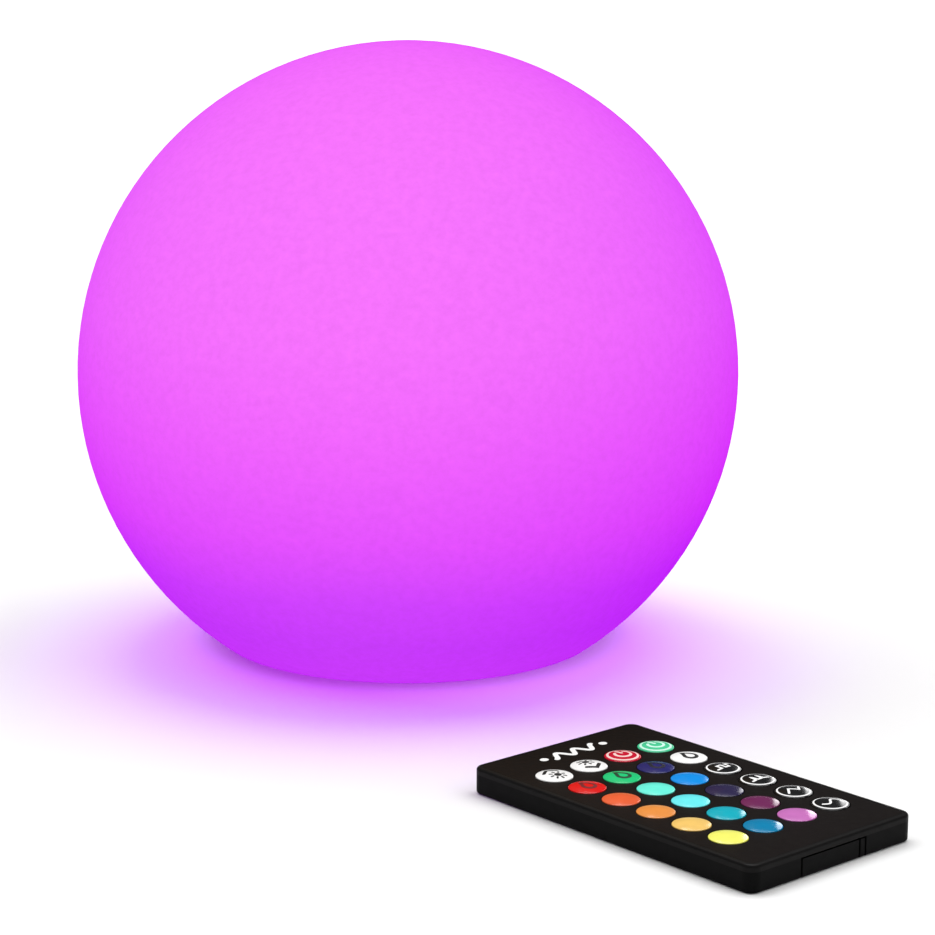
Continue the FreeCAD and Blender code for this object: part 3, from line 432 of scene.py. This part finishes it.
def side_vectors(path, closed):
    """The mitred sideways vector at each point of a path, for a stroke of half width 1."""
    last = len(path) - 1
    sides = []
    for i, point in enumerate(path):
        ways = []
        if i > 0 or closed:
            ways.append((point - path[i - 1]).normalized())
        if i < last or closed:
            ways.append((path[(i + 1) % len(path)] - point).normalized())
        normals = [Vector((-way.y, way.x)) for way in ways]
        middle = sum(normals, Vector((0, 0))).normalized()
        sides.append(middle / max(0.5, middle.dot(normals[0])))
    return sides


def stroke_sections(points, width, closed):
    """Left, middle and right points of each section of a stroke; an open stroke has round ends."""
    path = even_steps(list(points) + ([points[0]] if closed else []))
    if closed:
        path = path[:-1]
    half = width / 2
    sections = [(p + s * half, p, p - s * half) for p, s in zip(path, side_vectors(path, closed))]
    if closed:
        return sections
    for at_end in (False, True):
        tip, inner = (path[-1], path[-2]) if at_end else (path[0], path[1])
        way = (tip - inner).normalized()
        side = Vector((-way.y, way.x)) * (1 if at_end else -1)
        for turn in (25, 50, 70, 85):
            reach, spread = half * math.sin(math.radians(turn)), half * math.cos(math.radians(turn))
            middle = tip + way * reach
            section = (middle + side * spread, middle, middle - side * spread)
            sections.insert(len(sections) if at_end else 0, section)
    return sections


def add_stroke(bm, place, height, points, width, closed=False):
    """One raised ribbon of ink; place turns (u, v, height) in mm into a point of the frame."""
    sections = stroke_sections(points, width, closed)
    rings = []
    for section in sections:
        top = [place(p.x, p.y, height(p.x, p.y) + PRINT_LIFT) for p in section]
        low = [place(p.x, p.y, height(p.x, p.y) - PRINT_SINK) for p in reversed(section)]
        rings.append([bm.verts.new(p) for p in top + low])
    pairs = list(zip(rings, rings[1:]))
    if closed:
        pairs.append((rings[-1], rings[0]))
    else:
        bm.faces.new(rings[0])
        bm.faces.new(list(reversed(rings[-1])))
    for a, b in pairs:
        for i in range(len(a)):
            j = (i + 1) % len(a)
            bm.faces.new((a[j], a[i], b[i], b[j]))


def print_piece(name, body, origin, height, strokes, colour):
    """A piece made of strokes round an origin, each one (points, width) or (points, width, closed)."""
    across, along = remote_axes()
    up = Vector((0, 0, 1))

    def place(u, v, z):
        return origin + (across * u + along * v + up * z) * MM

    bm = bmesh.new()
    for stroke in strokes:
        add_stroke(bm, place, height, *stroke)
    bmesh.ops.recalc_face_normals(bm, faces=bm.faces)
    mesh = bpy.data.meshes.new(name)
    bm.to_mesh(mesh)
    bm.free()
    mesh.materials.append(INK_MATERIALS[colour])
    piece = bpy.data.objects.new(name, mesh)
    bpy.context.scene.collection.objects.link(piece)
    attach(piece, body)
    return piece


BOLD = 0.95                # mm, width of arrowheads and drops
FIRM = 0.75                # mm, width of power signs
LIGHT = 0.60               # mm, width of brightness curves and of the rings round power signs
FINE = 0.42                # mm, width of the rings round brightness curves
SUN_DISC = 1.9             # mm, across
SUN_RAY = 0.55             # mm, width of each ray
SUN_RAY_SPAN = (1.5, 2.1)  # mm from the sun's middle
SUN_SHIFT = 1.3            # mm, from the key's middle to the sun's
CURVE_REACH = 2.7          # mm, half the length of a brightness curve


def dot(u, v, width, half_length=0.05):
    """A stroke so short that its round ends make a disc."""
    return ([(u - half_length, v), (u + half_length, v)], width)


def caret(way):
    """An arrowhead near the key's edge, pointing up for 1 and down for -1."""
    return ([(-2.2, way * 1.5), (0.0, way * 3.1), (2.2, way * 1.5)], BOLD)


def sun_icon(v):
    """A small sun: a disc and eight rays, its middle at height v on the key."""
    strokes = [dot(0.0, v, SUN_DISC)]
    for i in range(8):
        turn = math.radians(45 * i)
        ray = [(r * math.sin(turn), v + r * math.cos(turn)) for r in SUN_RAY_SPAN]
        strokes.append((ray, SUN_RAY))
    return strokes


def droplet_icon():
    """A drop of colour, point up."""
    round_part = circle(1.6, 62, 298, (0.0, -0.6))
    return [([(0.0, 2.6)] + round_part, BOLD, True)]


def power_icon():
    """A wide ring round a broken circle with a bar through its gap."""
    bar = [(0.0, 0.4), (0.0, 2.7)]
    return [(circle(3.95)[:-1], LIGHT, True), (circle(2.1, 42, 318), FIRM), (bar, FIRM)]


def effect_icon(curve):
    """A light effect drawn as a curve of brightness, in a thin ring."""
    return [(circle(4.10)[:-1], FINE, True), (curve, LIGHT)]


# Brightness against time: on and off, two short flashes, and slow rises and falls.
FLASH = [(-CURVE_REACH, -1), (-1.35, -1), (-1.35, 1), (0, 1), (0, -1), (1.35, -1), (1.35, 1),
         (CURVE_REACH, 1)]
STROBE = [(-CURVE_REACH, -1), (-1.7, -1), (-1.3, 1.3), (-0.9, -1), (0.3, -1), (0.7, 1.3), (1.1, -1),
          (CURVE_REACH, -1)]
FADE = [(-CURVE_REACH, -1), (-0.9, 1), (0.9, -1), (CURVE_REACH, 1)]
KEY_PRINTS = {
    "key_brighter": ("dark", [caret(1)] + sun_icon(-SUN_SHIFT)),
    "key_dimmer": ("dark", [caret(-1)] + sun_icon(SUN_SHIFT)),
    "key_off": ("rose", power_icon()),
    "key_on": ("mint", power_icon()),
    "key_red": ("maroon", droplet_icon()),
    "key_green": ("forest", droplet_icon()),
    "key_blue": ("slate", droplet_icon()),
    "key_white": ("dark", droplet_icon()),
    "key_flash": ("white", effect_icon(FLASH)),
    "key_strobe": ("white", effect_icon(STROBE)),
    "key_fade": ("white", effect_icon(FADE)),
    "key_smooth": ("white", effect_icon(wave(CURVE_REACH, 1.0))),
}
INKS = {
    # colour, and the record's material slot that goes with each ink
    "dark": ((0.008, 0.008, 0.009), "remote_plastic"),
    "white": ((0.92, 0.92, 0.92), "key_white_cap"),
    "rose": ((0.88, 0.62, 0.60), "key_white_cap"),
    "mint": ((0.60, 0.92, 0.80), "key_white_cap"),
    "maroon": ((0.16, 0.004, 0.006), "key_red_cap"),
    "forest": ((0.004, 0.05, 0.02), "key_green_cap"),
    "slate": ((0.004, 0.004, 0.02), "key_blue_cap"),
}


def ink(name, colour):
    """Screen-printed ink: slightly uneven cover and a soft gloss."""
    n = Nodes("ink_" + name)
    n.set(Specular_IOR_Level=0.2)
    cover = n.noise(1800.0, 4.0, 0.7)
    thin = tuple(c * 0.93 for c in colour)
    full = tuple(min(1.0, c * 1.04) for c in colour)
    tint = n.ramp(cover, "Fac", [(0.3, thin), (0.7, full)])
    n.link(tint, "Color", n.shader, "Base Color")
    spread = n.remap(cover, "Fac", 0.35, 0.55)
    n.link(spread, "Result", n.shader, "Roughness")
    n.bump(cover, "Fac", 0.2, 0.00001)
    return n.material


INK_MATERIALS = {name: ink(name, colour) for name, (colour, _) in INKS.items()}


def print_keys():
    pieces = []
    for node, (colour, strokes) in KEY_PRINTS.items():
        middle = centre(node)
        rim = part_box(node)[1].z - CAP_RISE * MM
        origin = Vector((middle.x, middle.y, rim))
        pieces.append(print_piece("print_" + node[4:], node, origin, dome_height, strokes, colour))
    return pieces


def print_mark():
    """A generic mark at the emitter's end of the overlay: a wave between two dots."""
    across, along = remote_axes()
    low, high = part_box("remote_overlay")
    end_row = (centre("key_brighter") + centre("key_on")) / 2
    shift = (along * MARK_BEYOND_KEYS - across * MARK_TO_LEFT) * MM
    origin = Vector((end_row.x, end_row.y, high.z)) + shift
    strokes = [(wave(7.6, 1.8, 2.5), MARK_LINE)]
    for side in (-1, 1):
        strokes.append(dot(side * MARK_DOTS_AT, 0.0, MARK_DOT, 0.1))
    return print_piece("print_mark", "remote", origin, flat_height, strokes, "white")


# ---------------------------------------------------------------- stage and light

SOFTBOX_AWAY = 1.5         # m, from the remote to each of its softboxes
FLOOR_REACH = 12.0         # m, from the origin to each edge of the floor
FLOOR_DROP = 0.00005       # m, the floor's gap below the object


def make_stage():
    n = Nodes("floor_paint")
    n.set(Roughness=0.9, Specular_IOR_Level=0.0)
    wash = n.noise(2.0, 3.0)
    tint = n.ramp(wash, "Fac", [(0.3, (0.845, 0.845, 0.845)), (0.7, (0.855, 0.855, 0.855))])
    n.link(tint, "Color", n.shader, "Base Color")
    mesh = bpy.data.meshes.new("floor")
    quarters = ((-1, -1), (1, -1), (1, 1), (-1, 1))
    corners = [(x * FLOOR_REACH, y * FLOOR_REACH, -FLOOR_DROP) for x, y in quarters]
    mesh.from_pydata(corners, [], [(0, 1, 2, 3)])
    mesh.materials.append(n.material)
    floor = bpy.data.objects.new("floor", mesh)
    bpy.context.scene.collection.objects.link(floor)
    return floor


def add_light(name, kind, place, aim, energy, colour=(1, 1, 1), **values):
    data = bpy.data.lights.new(name, kind)
    data.energy = energy
    data.color = colour
    for key, value in values.items():
        setattr(data, key, value)
    light = bpy.data.objects.new(name, data)
    light.location = place
    light.rotation_euler = (Vector(aim) - Vector(place)).to_track_quat("-Z", "Y").to_euler()
    bpy.context.scene.collection.objects.link(light)
    return light


def group_of(name, pieces):
    group = bpy.data.collections.new(name)
    for piece in pieces:
        group.objects.link(piece)
    return group


def light_only(light, name, receivers):
    """Let a light, or a glowing piece, reach nothing but the given objects."""
    light.light_linking.receiver_collection = group_of(name, receivers)


def add_glow(name, place, power, spread, softness, floor):
    """A violet spotlight that looks straight down and stands in for the globe's glow on the floor."""
    below = (place[0], place[1], 0.0)
    glow = add_light(name, "SPOT", place, below, power, GLOW_ON_FLOOR, spot_size=math.radians(spread),
                     spot_blend=1.0, shadow_soft_size=softness)
    light_only(glow, name + "_receivers", [floor])
    return glow


def way_to(turn, rise):
    """Unit vector towards a light, turn degrees from +Y towards +X and rise degrees up."""
    turn, rise = math.radians(turn), math.radians(rise)
    return Vector((math.cos(rise) * math.sin(turn), math.cos(rise) * math.cos(turn), math.sin(rise)))


def add_sun(name, turn, rise, spread, strength, receivers):
    """A distant soft light that reaches only the given objects."""
    light = add_light(name, "SUN", way_to(turn, rise), (0, 0, 0), strength, angle=math.radians(spread))
    light_only(light, name + "_receivers", receivers)


def add_softbox(name, turn, rise, lean, width, height, power, receivers):
    """A softbox behind the remote, leaning by so many degrees, that only lights the given objects."""
    aim = centre("remote_overlay")
    place = aim + way_to(turn, rise) * SOFTBOX_AWAY
    light = add_light(name, "AREA", place, aim, power, shape="RECTANGLE", size=width, size_y=height)
    light.rotation_euler.rotate_axis("Z", math.radians(lean))
    light.visible_camera = False
    light.data.use_shadow = False
    light_only(light, name + "_receivers", receivers)


def light_studio(floor, prints):
    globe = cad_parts["globe_shell"]
    parts = list(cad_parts.values()) + prints
    keys = [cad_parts[name] for name in KEY_COLOURS] + prints
    add_sun("overhead", turn=15, rise=76, spread=52, strength=3.8, receivers=parts)
    add_sun("front_sun", turn=-170, rise=45, spread=80, strength=FRONT_SUN, receivers=[globe])
    light_only(globe, "globe_receivers", [globe])
    # The floor's suns and glows began as a fit to the photograph's floor, and trial renders changed them.
    add_sun("floor_top", turn=22, rise=70, spread=50, strength=2.12, receivers=[floor])
    add_sun("floor_left", turn=-53, rise=48, spread=61, strength=1.86, receivers=[floor])
    add_sun("floor_right", turn=91, rise=26, spread=80, strength=1.80, receivers=[floor])
    wide_glow = add_glow("wide_glow", (0.0, -0.027, 0.6), 12.1, spread=26.6, softness=0.02, floor=floor)
    wide_glow.data.use_shadow = False
    low_glow = add_glow("low_glow", (0.0, 0.0, 0.084), 0.32, spread=147.0, softness=0.006, floor=floor)
    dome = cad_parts["light_dome"]
    low_glow.light_linking.blocker_collection = group_of("low_glow_blockers", [dome])
    add_softbox("side_softbox", turn=18, rise=14, lean=14, width=0.10, height=1.10, power=1.6,
                receivers=keys)
    add_softbox("rear_softbox", turn=-7, rise=45, lean=26, width=0.13, height=0.68, power=1.6,
                receivers=keys)
    world = bpy.data.worlds.new("studio")
    bpy.context.scene.world = world
    world.use_nodes = True
    background = world.node_tree.nodes["Background"]
    background.inputs["Color"].default_value = (1.0, 1.0, 1.0, 1.0)
    background.inputs["Strength"].default_value = 0.05
    view = bpy.context.scene.view_settings
    view.view_transform = "Standard"
    view.look = "None"


make_camera()
dress_frame()
light_studio(make_stage(), print_keys() + [print_mark()])
